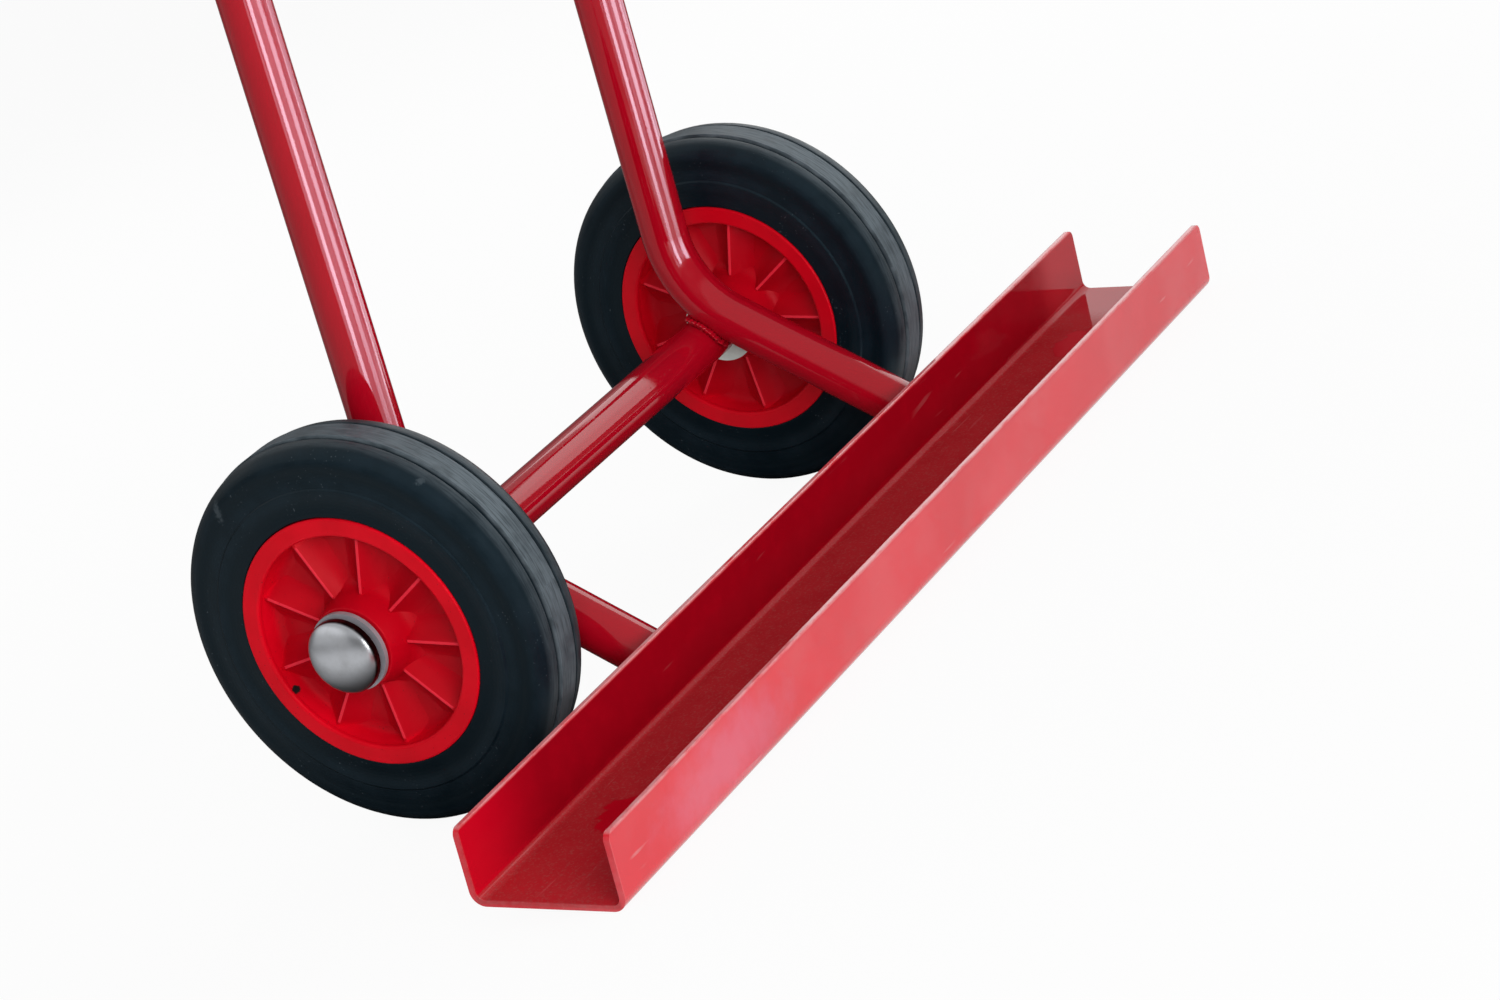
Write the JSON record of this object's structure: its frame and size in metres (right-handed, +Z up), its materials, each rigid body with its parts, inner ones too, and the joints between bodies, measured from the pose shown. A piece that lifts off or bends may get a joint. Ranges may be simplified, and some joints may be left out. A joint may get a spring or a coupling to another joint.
{
  "type": "chair hand truck",
  "caption": "Chair hand truck: bent tube frame with hand grips on free-turning solid-tyred wheels, and a wide folded channel across its foot that takes the legs of stacked chairs.",
  "frame": {"origin": "on the floor, under the middle of the bounding box, as it stands on both tyres and the front edge of the channel", "axes": "+Z up, +X along the axle to the user's left, -Y to the front, where the channel is"},
  "size_m": [0.675, 0.2924, 1.1588],
  "materials": {
    "red_paint": "glossy red powder coat",
    "steel": "bright drawn bar",
    "zinc": "bright zinc plate",
    "tyre": "black rubber, a little dusty",
    "rim_plastic": "moulded red plastic, satin",
    "nylon": "natural nylon",
    "grip_rubber": "matt black soft plastic"
  },
  "bodies": {
    "frame": {"left_side_tube": "red_paint", "right_side_tube": "red_paint", "axle_tube": "red_paint", "lower_cross_bar": "red_paint", "upper_cross_bar": "red_paint", "load_channel": "red_paint", "left_hand_grip": "grip_rubber", "right_hand_grip": "grip_rubber", "axle_tube_welds": "red_paint", "lower_cross_bar_welds": "red_paint", "upper_cross_bar_welds": "red_paint", "channel_welds": "red_paint", "axle_rod": "steel", "axle_rod_welds": "red_paint", "left_inner_washer": "zinc", "left_outer_washer": "zinc", "left_retaining_ring": "zinc", "left_axle_cap": "zinc", "right_inner_washer": "zinc", "right_outer_washer": "zinc", "right_retaining_ring": "zinc", "right_axle_cap": "zinc"},
    "left_wheel": {"left_tyre": "tyre", "left_rim_outer_half": "rim_plastic", "left_rim_inner_half": "rim_plastic", "left_inner_bush": "nylon", "left_outer_bush": "nylon"},
    "right_wheel": {"right_tyre": "tyre", "right_rim_outer_half": "rim_plastic", "right_rim_inner_half": "rim_plastic", "right_inner_bush": "nylon", "right_outer_bush": "nylon"}
  },
  "joints": [
    {"name": "left_wheel_spin", "type": "hinge", "parent": "frame", "child": "left_wheel", "pos_m": [0.189, 0.04621, 0.1], "axis": [1, 0, 0], "continuous": true},
    {"name": "right_wheel_spin", "type": "hinge", "parent": "frame", "child": "right_wheel", "pos_m": [-0.189, 0.04621, 0.1], "axis": [1, 0, 0], "continuous": true}
  ]
}
